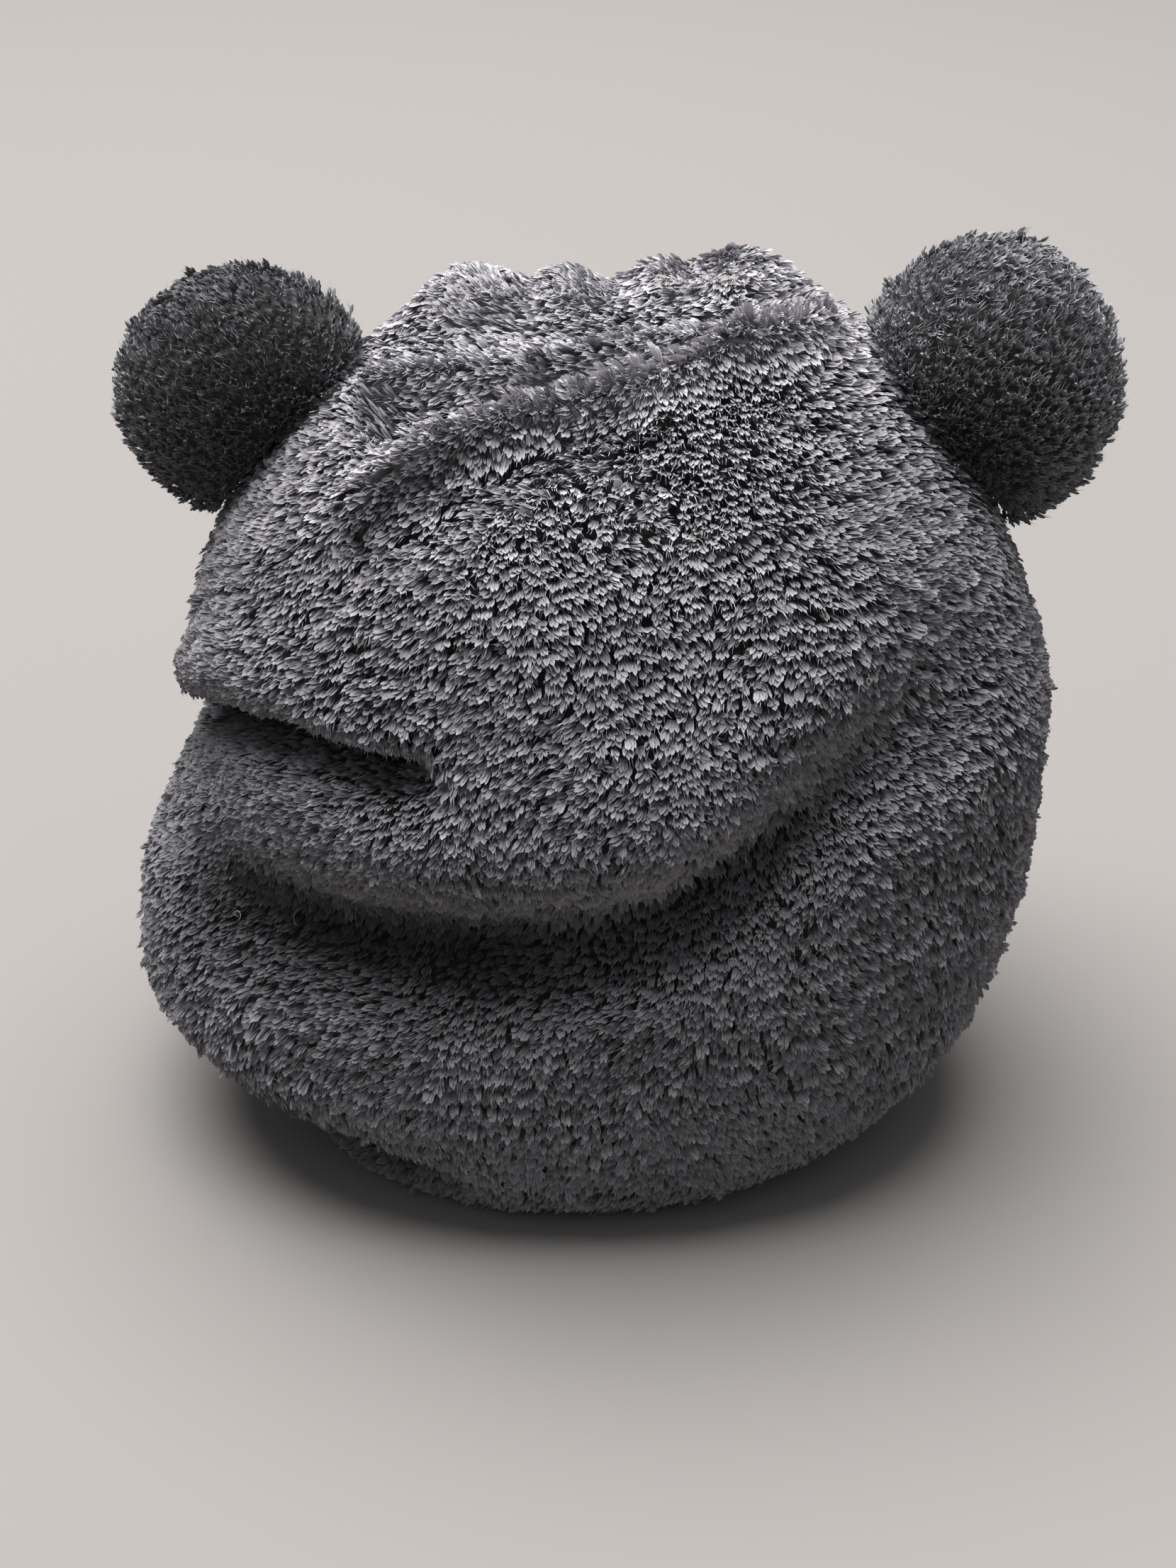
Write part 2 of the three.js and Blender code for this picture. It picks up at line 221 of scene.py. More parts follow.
def outward(angle):
    a = np.radians(angle)
    return np.stack([np.sin(a), -np.cos(a), np.zeros_like(a)], -1)


def outer_face(angle, t):
    angle, t = np.broadcast_arrays(np.asarray(angle, float), np.asarray(t, float))
    point = plain_wall(angle, t)
    height = point[..., 2].copy()
    out, up = folded(angle, height)
    point = point + out[..., None] * outward(angle)
    point[..., 2] += up + smooth(*CROWN_STARTS, height) * crown_rise(point[..., 0], point[..., 1])
    return point


def inner_face(angle, t):
    angle, t = np.broadcast_arrays(np.asarray(angle, float), np.asarray(t, float))
    out, _ = folded(angle, plain_wall(angle, t)[..., 2], pockets_only=True)
    return plain_wall(angle, t, WALL) + out[..., None] * outward(angle)


def unit(v):
    return v / np.maximum(np.linalg.norm(v, axis=-1, keepdims=True), 1e-9)


def outer_normal(angle, t):
    angle, t = np.broadcast_arrays(np.asarray(angle, float), np.asarray(t, float))
    low, high = np.clip(t - 0.004, 0, 1), np.clip(t + 0.004, 0, 1)
    around = outer_face(angle + 0.7, t) - outer_face(angle - 0.7, t)
    up = outer_face(angle, high) - outer_face(angle, low)
    return unit(np.cross(around, up))


def place_at_height(height):
    places = np.linspace(0, 1, 4001)
    return float(places[np.argmax(curve(PLACES, SECTIONS, places)[:, 0] >= height)])


def mesh_object(name, verts, faces, material, uv=None, **attributes):
    """faces is an array of triangles or of quads, in the order of the vertices' rows. Millimetres in, metres out."""
    mesh = bpy.data.meshes.new(name)
    verts = (np.asarray(verts, float) + MIDDLE) * MM
    faces = np.asarray(faces, np.int32)
    corners = faces.shape[1]
    mesh.vertices.add(len(verts))
    mesh.vertices.foreach_set("co", verts.astype(np.float32).ravel())
    mesh.loops.add(faces.size)
    mesh.loops.foreach_set("vertex_index", faces.ravel())
    mesh.polygons.add(len(faces))
    mesh.polygons.foreach_set("loop_start", np.arange(0, faces.size, corners, dtype=np.int32))
    if uv is not None:
        layer = mesh.uv_layers.new(name="UVMap")
        layer.data.foreach_set("uv", np.asarray(uv, np.float32)[faces.ravel()].ravel())
    for key, values in attributes.items():
        mesh.attributes.new(key, "FLOAT", "POINT").data.foreach_set("value", np.asarray(values, np.float32))
    mesh.update(calc_edges=True)
    mesh.shade_smooth()
    mesh.materials.append(material)
    obj = bpy.data.objects.new(name, mesh)
    bpy.context.scene.collection.objects.link(obj)
    return obj


# ---------------------------------------------------------------- materials


def new_material(name):
    material = bpy.data.materials.new(name)
    material.use_nodes = True
    nodes = material.node_tree.nodes
    nodes.clear()
    output = nodes.new("ShaderNodeOutputMaterial")
    shader = nodes.new("ShaderNodeBsdfPrincipled")
    material.node_tree.links.new(shader.outputs[0], output.inputs["Surface"])
    return material, shader


def add(material, kind, **settings):
    node = material.node_tree.nodes.new(kind)
    for key, value in settings.items():
        if key in node.inputs:
            node.inputs[key].default_value = value
        else:
            setattr(node, key, value)
    return node


def math_node(material, operation, a, b):
    node = add(material, "ShaderNodeMath", operation=operation)
    for i, value in enumerate((a, b)):
        if isinstance(value, (int, float)):
            node.inputs[i].default_value = value
        else:
            material.node_tree.links.new(value, node.inputs[i])
    return node.outputs[0]


def ramp(material, factor, stops):
    node = add(material, "ShaderNodeValToRGB")
    element = node.color_ramp.elements
    while len(element) < len(stops):
        element.new(0.5)
    for e, (place, value) in zip(element, stops):
        e.position = place
        e.color = (*value, 1) if isinstance(value, tuple) else (value, value, value, 1)
    material.node_tree.links.new(factor, node.inputs[0])
    return node.outputs["Color"]


def pile_material(name, dark, light):
    """Teddy tufts: painted shade toward the root and painted light at the tip, each one of its own tone, with fine
    fibres along it, and the painted light and shade of the shade attribute laid over it.
    """
    material, shader = new_material(name)
    links = material.node_tree.links
    along = add(material, "ShaderNodeAttribute", attribute_name="along").outputs["Fac"]
    tone = add(material, "ShaderNodeAttribute", attribute_name="tone").outputs["Fac"]
    # the painted light and shade set on each lock
    shade = add(material, "ShaderNodeAttribute", attribute_name="shade").outputs["Fac"]
    uv = add(material, "ShaderNodeUVMap", uv_map="UVMap")
    stretch = add(material, "ShaderNodeMapping")
    stretch.inputs["Scale"].default_value = (8, 2.2, 1)
    links.new(uv.outputs[0], stretch.inputs["Vector"])
    fibres = add(material, "ShaderNodeTexNoise", noise_dimensions="2D", Scale=1.0, Detail=3.0, Roughness=0.65)
    links.new(stretch.outputs[0], fibres.inputs["Vector"])
    colour = ramp(material, tone, [(0.0, dark), (1.0, light)])
    # painted shade toward each lock's root and painted light at its tip
    painted_root_shade = ramp(material, along, [(0.0, 0.15), (0.4, 0.45), (0.72, 0.95), (1.0, 1.2)])
    fibred = ramp(material, fibres.outputs["Fac"], [(0.3, 0.48), (0.7, 1.45)])
    for factor in (painted_root_shade, fibred, shade):
        mix = add(material, "ShaderNodeMix", data_type="RGBA", blend_type="MULTIPLY")
        mix.inputs["Factor"].default_value = 1.0
        links.new(colour, mix.inputs["A"])
        links.new(factor, mix.inputs["B"])
        colour = mix.outputs["Result"]
    links.new(colour, shader.inputs["Base Color"])
    bump = add(material, "ShaderNodeBump", Strength=0.8, Distance=0.0004)
    links.new(fibres.outputs["Fac"], bump.inputs["Height"])
    links.new(bump.outputs[0], shader.inputs["Normal"])
    shader.inputs["Roughness"].default_value = 0.9
    shader.inputs["Specular IOR Level"].default_value = 0.08
    shader.inputs["Sheen Weight"].default_value = 0.4
    shader.inputs["Sheen Roughness"].default_value = 0.5
    shader.inputs["Sheen Tint"].default_value = (0.9, 0.93, 1.0, 1)
    return material


def knit_material(name, colour):
    """The knitted ground that the tufts stand on, seen between them and inside the hat."""
    material, shader = new_material(name)
    links = material.node_tree.links
    coords = add(material, "ShaderNodeTexCoord")
    loops = add(material, "ShaderNodeTexVoronoi", Scale=900.0, Randomness=0.45)
    links.new(coords.outputs["Object"], loops.inputs["Vector"])
    wisps = add(material, "ShaderNodeTexNoise", Scale=260.0, Detail=3.0)
    links.new(coords.outputs["Object"], wisps.inputs["Vector"])
    tint = ramp(material, wisps.outputs["Fac"], [
        (0.3, tuple(c * 0.75 for c in colour)), (0.7, tuple(c * 1.2 for c in colour))])
    shade = ramp(material, loops.outputs["Distance"], [(0.0, 1.15), (0.6, 0.55)])
    mix = add(material, "ShaderNodeMix", data_type="RGBA", blend_type="MULTIPLY")
    mix.inputs["Factor"].default_value = 1.0
    links.new(tint, mix.inputs["A"])
    links.new(shade, mix.inputs["B"])
    links.new(mix.outputs["Result"], shader.inputs["Base Color"])
    bump = add(material, "ShaderNodeBump", Strength=0.8, Distance=0.0004)
    bump.invert = True
    links.new(loops.outputs["Distance"], bump.inputs["Height"])
    links.new(bump.outputs[0], shader.inputs["Normal"])
    shader.inputs["Roughness"].default_value = 0.95
    shader.inputs["Specular IOR Level"].default_value = 0.15
    shader.inputs["Sheen Weight"].default_value = 0.2
    return material


PANEL_PILE = pile_material("panel_pile", (0.2, 0.193, 0.209), (0.43, 0.416, 0.446))
HEM_PILE = pile_material("hem_pile", (0.2, 0.195, 0.212), (0.42, 0.41, 0.44))
# the ears' pile is darker than the panels' pile, as painted shade on ear faces that turn away from the light above
SHADED_EAR_PILE = pile_material("ear_pile", (0.115, 0.114, 0.122), (0.205, 0.203, 0.216))
KNIT = knit_material("knit_ground", (0.05, 0.05, 0.053))
LINT, lint_shader = new_material("lint")
lint_shader.inputs["Roughness"].default_value = 0.8
lint_tint = add(LINT, "ShaderNodeTexNoise", Scale=900.0, Detail=2.0)
LINT.node_tree.links.new(ramp(LINT, lint_tint.outputs["Fac"], [(0.3, (0.3, 0.29, 0.27)), (0.7, (0.5, 0.48, 0.45))]),
                         lint_shader.inputs["Base Color"])

# ---------------------------------------------------------------- the cloth under the pile


def cloth(name, angles, rows, round_it):
    """A closed sheet between the ground of the pile and the inside of the wall."""
    grid_a, grid_t = np.meshgrid(angles, rows, indexing="ij")
    outer, inner = outer_face(grid_a, grid_t), inner_face(grid_a, grid_t)
    outer = outer + (inner - outer) * (PILE * GROUND_DEPTH / WALL)
    n, m = grid_a.shape
    verts = np.concatenate([outer.reshape(-1, 3), inner.reshape(-1, 3)])
    quads = []
    spans = n if round_it else n - 1
    i, j = np.meshgrid(np.arange(spans), np.arange(m - 1), indexing="ij")
    i, j = i.ravel(), j.ravel()
    a, b = i * m + j, ((i + 1) % n) * m + j
    quads.append(np.stack([a, b, b + 1, a + 1], 1))
    quads.append(np.stack([a, a + 1, b + 1, b], 1) + n * m)
    i = np.arange(spans)
    a, b = i * m, ((i + 1) % n) * m
    quads.append(np.stack([a, a + n * m, b + n * m, b], 1))
    a, b = a + m - 1, b + m - 1
    quads.append(np.stack([a, b, b + n * m, a + n * m], 1))
    if not round_it:
        j = np.arange(m - 1)
        quads.append(np.stack([j, j + 1, j + 1 + n * m, j + n * m], 1))
        e = (n - 1) * m
        quads.append(np.stack([e + j, e + j + n * m, e + j + 1 + n * m, e + j + 1], 1))
    return mesh_object(name, verts, np.concatenate(quads), KNIT)


rim_top = place_at_height(HEM_TOP)
panel_rows = np.linspace(place_at_height(HEM_TOP + GAP), 1, 70)
front_cloth = cloth("front_panel_cloth", np.linspace(-90, 90, 81), panel_rows, False)
back_cloth = cloth("back_panel_cloth", np.linspace(90, 270, 65), panel_rows, False)
hem_cloth = cloth("hem_cloth", np.linspace(-180, 180, 120, endpoint=False), np.linspace(0, rim_top, 5), True)

# ---------------------------------------------------------------- the pile

random = np.random.default_rng(20)


def spread(points, apart):
    """Which points to keep, taken in order, so that no two are nearer than apart."""
    cells, keep, near = {}, [], apart * apart
    steps = [(i, j, k) for i in (-1, 0, 1) for j in (-1, 0, 1) for k in (-1, 0, 1)]
    for n, (x, y, z) in enumerate(points.tolist()):
        a, b, c = int(x // apart), int(y // apart), int(z // apart)
        free = True
        for i, j, k in steps:
            for u, v, w in cells.get((a + i, b + j, c + k), ()):
                if (x - u) ** 2 + (y - v) ** 2 + (z - w) ** 2 < near:
                    free = False
                    break
            if not free:
                break
        if free:
            keep.append(n)
            cells.setdefault((a, b, c), []).append((x, y, z))
    return np.array(keep, int)


def wall_points(apart):
    """Angles and places of tufts on the wall, in rows round it, as the knitted ground has them."""
    angles = np.arange(-180, 180, 0.5)
    places = np.linspace(0, 1, 500)
    grid_a, grid_t = np.meshgrid(angles, places, indexing="ij")
    face = outer_face(grid_a, grid_t)
    climb = np.linalg.norm(np.diff(face, axis=1), axis=-1).max(0)  # the longest way up, row by row
    height = np.concatenate([[0], np.cumsum(climb)])
    rows = np.interp(np.arange(apart * 0.3, height[-1], apart * 0.46), height, places)
    found_a, found_t = [], []
    for k, t in enumerate(rows):
        ring = outer_face(np.append(angles, 180), np.full(len(angles) + 1, t))
        length = np.concatenate([[0], np.cumsum(np.linalg.norm(np.diff(ring, axis=0), axis=-1))])
        at = np.arange((k % 2) * apart * 0.5, length[-1], apart * 0.5)
        at = at + random.normal(0, 0.12 * apart, len(at))
        found_a.append(np.interp(at, length, np.append(angles, 180)))
        found_t.append(np.clip(t + random.normal(0, 0.0006, len(at)), 0, 1))
    a, t = np.concatenate(found_a), np.concatenate(found_t)
    keep = spread(outer_face(a, t), apart)
    return a[keep], t[keep]


def drift(points, size, seed):
    """A smooth random vector field, about size millimetres from one swell to the next."""
    r = np.random.default_rng(seed)
    out = np.zeros_like(points)
    for _ in range(9):
        wave = unit(r.normal(size=3)) * 2 * math.pi / (size * r.uniform(0.7, 1.5))
        out += np.sin(points @ wave + r.uniform(0, 2 * math.pi))[:, None] * r.normal(size=3) / 3
    return out


def locks(name, tip, root, normal, flow, material, shade, lit=0.0, width=1.25, thick=0.4, curl=0.3):
    """Meshes of many flat locks of pile. Each rises from its root, bends over and lies along the flow to its tip.
    The shade is painted light and shade that makes a lock lighter or darker, and lit takes the painted shade off its
    root."""
    n = len(tip)
    lit = np.broadcast_to(lit, n)
    depth = ((tip - root) * normal).sum(1, keepdims=True)
    run = tip - root - normal * depth
    bend = tip - 0.55 * run - normal * depth * 0.17
    roll = random.normal(0, curl, (n, 1))
    across = unit(np.cross(normal, flow))
    across = across * np.cos(roll) + normal * np.sin(roll)
    half = width * random.normal(1.0, 0.14, (n, 1)).clip(0.65, 1.4)

    def leaf(side):
        """The start, middle and end of one leaf, and its own width direction."""
        fan = side * half * random.uniform(0.55, 0.85, (n, 1))
        end = (tip + across * fan + normal * random.normal(0, 0.16, (n, 1))
               + across * random.normal(0, 0.12, (n, 1)))
        end = end - unit(tip - bend) * abs(side) * random.uniform(0.1, 1.3, (n, 1)) - normal * abs(side) * 0.15
        tilt = random.normal(0, 0.3, (n, 1)) - 0.25 * side
        wide = across * np.cos(tilt) + normal * np.sin(tilt)
        return root + across * fan * 0.4, bend + across * fan * 0.75, end, wide

    def path(points, s):
        return (1 - s) ** 2 * points[0] + 2 * s * (1 - s) * points[1] + s * s * points[2]

    def way(points, s):
        return unit((1 - s) * (points[1] - points[0]) + s * (points[2] - points[1]) + 1e-6)

    columns, leaves = [], [leaf(side) for side in LOCK_LEAVES]
    for points in leaves:
        broad = half * random.uniform(0.42, 0.6, (n, 1))
        for place, share in LEAF_RINGS:
            at, wide = path(points, place), points[3] * broad * share * random.normal(1, 0.12, (n, 1))
            high = unit(np.cross(points[3], way(points, place)))
            columns += [at - wide, at + high * thick * share * random.uniform(0.6, 1.3, (n, 1)), at + wide]
        columns.append(points[2])
    for k in range(LOCK_HAIRS):
        points = leaves[k % len(leaves)]
        start = random.uniform(0.55, 0.9, (n, 1))
        high = unit(np.cross(points[3], way(points, start)))
        at = path(points, start) + points[3] * half * random.uniform(-0.4, 0.4, (n, 1)) + high * thick
        thin = points[3] * random.uniform(0.07, 0.13, (n, 1))
        end = at + way(points, 1.0) * random.uniform(1.1, 2.4, (n, 1)) + random.normal(0, 0.3, (n, 3))
        columns += [at - thin, at + thin, end]
    verts = np.stack(columns, 1)
    verts[..., 2] = np.maximum(verts[..., 2], 0.15)
    count = verts.shape[1]
    faces, along, u = [], [], []
    for leaf_number in range(len(LOCK_LEAVES)):
        first = leaf_number * (3 * len(LEAF_RINGS) + 1)
        for ring, (place, _) in enumerate(LEAF_RINGS):
            a, last = first + 3 * ring, ring == len(LEAF_RINGS) - 1
            for j in (a, a + 1):
                faces += [(j, j + 1, a + 3)] if last else [(j, j + 1, j + 4), (j, j + 4, j + 3)]
            along += [place] * 3
            u += [-0.5, 0.0, 0.5]
        along.append(1.0)
        u.append(0.0)
    for k in range(LOCK_HAIRS):
        a = len(along)
        faces.append((a, a + 1, a + 2))
        along += [0.85, 0.85, 1.0]
        u += [0.1, 0.12, 0.11]
    faces = np.array(faces)
    tone = np.clip(0.5 + random.normal(0, 0.16, n) + 0.12 * drift(tip, 24, 6)[:, 0], 0, 1)
    uv = np.stack([np.tile(u, (n, 1)) + random.uniform(0, 40, (n, 1)),
                   np.tile(along, (n, 1)) + random.uniform(0, 40, (n, 1))], -1)
    pieces, most = [], MOST_TRIANGLES // len(faces)
    parts = max(1, -(-n // most))
    for part, chosen in enumerate(np.array_split(np.arange(n), parts)):
        size = len(chosen)
        pieces.append(mesh_object(
            name if parts == 1 else f"{name}_{part + 1}",
            verts[chosen].reshape(-1, 3),
            (faces[None] + (np.arange(size) * count)[:, None, None]).reshape(-1, 3),
            material, uv=uv[chosen].reshape(-1, 2), along=np.tile(along, size) + np.repeat(lit[chosen], count),
            tone=np.repeat(tone[chosen], count), shade=np.repeat(shade[chosen], count)))
    return pieces


def wall_depth(angle, t, normal):
    across = outer_face(angle, t) - inner_face(angle, t)
    return np.minimum(PILE, 0.85 * np.maximum((across * normal).sum(-1), 2.5))


angle, place = wall_points(LOCK_APART)
around = (angle + 90) % 360 - 90
order = np.argsort(around)
around, place = around[order], place[order]


# for each fold, how dark the painted shade in it is at its left and at its right, and where that painted shade lies
# from its path, above and below
FOLD_SHADES = ((0.5, 0.5, 0, 10, 8), (0.72, 0, 4, 14, 15), (0.5, 0.4, 0, 10, 10))


def painted_wall_shading(angle, t, point):
    """Painted light and shade on the pile: painted shade low down, on the right and in the folds, painted light on
    the crown and along the ridge crests, and a painted shadow just below each crest.
    """
    turned, height = (angle + 180) % 360 - 180, plain_wall(angle, t)[..., 2]
    x, y, z = point.T
    # painted shade low on the wall, painted light on the crown and at the back of the top
    shade = (0.86 + 0.14 * smooth(95, 125, z) + 0.62 * smooth(140, 180, z) * (1 - 0.25 * smooth(0, 30, x))
             + 0.45 * smooth(170, 188, z) * smooth(-12, 12, y))
    # painted shade low on the right side and on the right of the dome
    shade *= 1 - 0.16 * smooth(35, 70, turned) * smooth(55, 75, z) * (1 - smooth(115, 140, z))
    shade *= 1 - 0.17 * smooth(10, 45, x) * smooth(100, 125, z) * (1 - smooth(165, 182, z))
    # a painted highlight along each ridge's crest and a painted shadow just below it, darker at its left
    for ridge, light, dark in ((SEAM, 0.8, 0.9), (BACK_RIDGE, 0.45, 0.35)):
        crest = np.array(ridge["line"], float)
        share = smooth(150, 170, z)
        shade += light * share * bell(line_distance(x, y, crest + (0, 1)) / 2.8)
        below = bell(line_distance(x, y, crest - (0, 4.8)) / 2.1)
        shade -= dark * share * below * (1.25 - 0.75 * smooth(-35, 15, x))
    # painted shade in each fold, strongest at its left
    for fold, (most, least, centre, high, low) in zip(FOLDS, FOLD_SHADES):
        path = np.array(fold["path"], float)
        share = smooth(path[0, 0] - 5, path[0, 0] + 20, turned) * (1 - smooth(path[-1, 0] - 40, path[-1, 0], turned))
        share = share * (most + (least - most) * smooth(-16, 8, turned))
        over = height - curve(path[:, 0], path[:, 1:], turned)[..., 0] - centre
        low = low + 7 * (1 - smooth(-60, -35, turned))
        shade -= share * bell(over / np.where(over > 0, high, low))
    return shade.clip(0.25, 2.2)


def wall_pile(name, chosen, material):
    a, t = around[chosen], place[chosen]
    tip, normal = outer_face(a, t), outer_normal(a, t)
    round_it = (outer_face(a + 0.5, t) - outer_face(a - 0.5, t)) / 1.0
    low, high = np.clip(t - 0.002, 0, 1), np.clip(t + 0.002, 0, 1)
    up = (outer_face(a, high) - outer_face(a, low)) / (high - low)[:, None]
    # down the wall and out to its sides, but behind the seam on the crown to the left, or at its right end right
    flow = -unit(up) + 0.5 * np.sin(np.radians(a))[:, None] * unit(round_it)
    forward = np.stack([np.tanh((tip[:, 0] - 27) / 8), np.full(len(a), -0.25), np.full(len(a), -0.3)], -1)
    seam_x, seam_y = np.array(SEAM["line"], float).T
    behind = tip[:, 1] - np.interp(tip[:, 0], seam_x, seam_y)
    crown = smooth(156, 170, tip[:, 2]) * smooth(-1, 5, behind) * (1 - smooth(44, 62, tip[:, 1]))
    flow = flow * (1 - crown[:, None]) + forward * crown[:, None]
    ridge = bell(line_distance(tip[:, 0], tip[:, 1], SEAM["line"]) / 2.8)
    ridge = ridge + 0.5 * bell(line_distance(tip[:, 0], tip[:, 1], BACK_RIDGE["line"]) / 2.8)
    ridge = ridge.clip(0, 1) * smooth(150, 168, tip[:, 2])
    flow = flow * (1 - ridge[:, None]) + np.array([-0.75, -0.55, 0.1]) * ridge[:, None]
    flow = flow + 0.42 * drift(tip, 45, 3) + 0.22 * drift(tip, 11, 4)
    flow = flow + random.normal(0, 0.2, flow.shape)
    flow = unit(flow - normal * (flow * normal).sum(1, keepdims=True))
    run = LOCK_RUN * random.uniform(0.75, 1.2, len(a)) * (1 - 0.3 * ridge)
    back = -flow * run[:, None]
    # the step in angle and place that makes this step along the wall
    uu, rr, ur = (up * up).sum(1), (round_it * round_it).sum(1), (up * round_it).sum(1)
    bu, br = (back * up).sum(1), (back * round_it).sum(1)
    full = np.maximum(uu * rr - ur * ur, 1e-9)
    step_t = np.clip((bu * rr - br * ur) / full, -0.03, 0.03)
    step_a = np.clip((br * uu - bu * ur) / full, -9, 9)
    root_a, root_t = a + step_a, np.clip(t + step_t, 0, 1)
    root_normal = outer_normal(root_a, root_t)
    sunk = (0.7 - 0.25 * crown) * wall_depth(root_a, root_t, root_normal)
    root = outer_face(root_a, root_t) - root_normal * sunk[:, None]
    # here and there the pile lies in rows
    steps = np.linspace(0, 1, 200)
    climbed = np.linalg.norm(np.diff(outer_face(np.full(200, 35.0), steps), axis=0), axis=-1)
    climb = np.interp(t, steps, np.concatenate([[0], np.cumsum(climbed)]))
    rows = (np.sin(2 * math.pi * climb / 4.4 + 2.2 * drift(tip, 60, 9)[:, 0])
            * smooth(-0.5, 0.6, drift(tip, 70, 10)[:, 1] + 0.5 * np.sin(np.radians(a))))
    lift = random.gumbel(0, 0.3, len(a)).clip(-0.6, 1.8) + 0.5 * rows + ridge * random.uniform(0.3, 3.0, len(a))
    tip = tip + normal * lift[:, None]
    tip = tip + ridge[:, None] * random.normal(0, 0.6, tip.shape)
    # painted light and shade on each lock: a little lighter on the rows where they rise and darker between them, and
    # painted light at the roots of the crest's locks
    return locks(name, tip, root, normal, flow, material, painted_wall_shading(a, t, tip) * (1 + 0.12 * rows), lit=0.35 * ridge)


front_pile = wall_pile("front_pile", (around < 90) & (place > rim_top), PANEL_PILE)
back_pile = wall_pile("back_pile", (around >= 90) & (place > rim_top), PANEL_PILE)
hem_pile = wall_pile("hem_pile", place <= rim_top, HEM_PILE)

# ---------------------------------------------------------------- the ears

grid_a, grid_t = np.meshgrid(np.linspace(-180, 180, 361), np.linspace(0, 1, 240), indexing="ij")
body_points = outer_face(grid_a, grid_t)
n, m = grid_a.shape
i, j = (v.ravel() for v in np.meshgrid(np.arange(n - 1), np.arange(m - 1), indexing="ij"))
body_faces = np.stack([i * m + j, (i + 1) * m + j, (i + 1) * m + j + 1, i * m + j + 1], 1)
body_tree = BVHTree.FromPolygons(body_points.reshape(-1, 3).tolist(), body_faces.tolist())


def outside_body(point):
    """How far a point is outside the wall's outer face, in millimetres."""
    near, normal, _, _ = body_tree.find_nearest(Vector(point))
    return (Vector(point) - near).dot(normal)


def ear_pad(centre, radii, tuck, rings=28, sides=48):
    """The stuffed pocket under the ear's pile, cut back to the wall that it is sewn to."""
    centre, radii = np.array(centre, float), np.array(radii, float) - PILE * EAR_PILE_SHARE[0]
    polar, turn = np.meshgrid(
        np.linspace(0, math.pi, rings + 1)[1:-1], np.arange(sides) * 2 * math.pi / sides, indexing="ij")
    way = np.stack([np.sin(polar) * np.cos(turn), -np.cos(polar), np.sin(polar) * np.sin(turn)], -1).reshape(-1, 3)
    way = np.concatenate([[(0, -1, 0)], way, [(0, 1, 0)]])
    disc = np.hypot(way[:, 0], way[:, 2])
    way = way / ((disc**EAR_POWER + np.abs(way[:, 1]) ** EAR_POWER) ** (1 / EAR_POWER))[:, None]
    verts = way * radii
    verts[:, 0] += tuck * np.maximum(-verts[:, 2], 0)
    verts += centre
    for k, point in enumerate(verts):
        low, high = 0.0, 1.0
        if outside_body(point) < CLEAR_OF_WALL:
            for _ in range(14):
                middle = (low + high) / 2
                if outside_body(centre + (point - centre) * middle) < CLEAR_OF_WALL:
                    high = middle
                else:
                    low = middle
            verts[k] = centre + (point - centre) * low
    i, j = (v.ravel() for v in np.meshgrid(np.arange(rings - 2), np.arange(sides), indexing="ij"))
    a, b = 1 + i * sides + j, 1 + i * sides + (j + 1) % sides
    faces = np.concatenate([np.stack([a, b, b + sides], 1), np.stack([a, b + sides, a + sides], 1)])
    j = np.arange(sides)
    last = len(verts) - 1
    faces = np.concatenate([
        faces, np.stack([np.zeros(sides, int), 1 + (j + 1) % sides, 1 + j], 1),
        np.stack([np.full(sides, last), last - sides + j, last - sides + (j + 1) % sides], 1)])
    return verts, faces


def mesh_points(obj):
    """The reverse of mesh_object: the points of a mesh, in millimetres."""
    points = np.empty(len(obj.data.vertices) * 3, np.float32)
    obj.data.vertices.foreach_get("co", points)
    return points.reshape(-1, 3).astype(float) / MM - MIDDLE


def stuffed(verts, faces):
    """The pad blown up as cloth, held where it is sewn to the wall, so that it fills out as a stuffed pocket does."""
    obj = mesh_object("stuffing", verts, faces, KNIT)
    scene = bpy.context.scene
    bpy.context.view_layer.objects.active = obj
    obj.select_set(True)
    remesh = obj.modifiers.new("remesh", "REMESH")
    remesh.mode, remesh.voxel_size = "VOXEL", STUFFED_VOXEL * MM
    bpy.ops.object.modifier_apply(modifier=remesh.name)
    start = mesh_points(obj)
    sewn = obj.vertex_groups.new(name="sewn")
    for n, point in enumerate(start):
        sewn.add([n], float(1 - smooth(*SEWN_REACH, outside_body(point))), "REPLACE")
    swelling = obj.modifiers.new("swelling", "CLOTH")
    settings = swelling.settings
    settings.vertex_group_mass = sewn.name
    settings.use_pressure = True
    settings.uniform_pressure_force = STUFFED_PRESSURE
    settings.effector_weights.gravity = 0
    settings.mass = STUFFED_MASS
    settings.tension_stiffness = settings.compression_stiffness = STUFFED_STIFFNESS
    settings.shear_stiffness = STUFFED_STIFFNESS
    settings.bending_stiffness = STUFFED_BENDING
    swelling.collision_settings.use_collision = False
    for frame_number in range(1, STUFFED_FRAMES + 1):
        scene.frame_set(frame_number)
    bpy.ops.object.modifier_apply(modifier=swelling.name)
    obj.data.calc_loop_triangles()
    end = mesh_points(obj)
    moved = end - start
    length = np.linalg.norm(moved, axis=1, keepdims=True)
    end = start + moved * np.minimum(1, STUFFED_CAP / np.maximum(length, 1e-9))
    triangles = np.empty(len(obj.data.loop_triangles) * 3, np.int32)
    obj.data.loop_triangles.foreach_get("vertices", triangles)
    bpy.data.objects.remove(obj)
    scene.frame_set(1)
    return end, triangles.reshape(-1, 3)


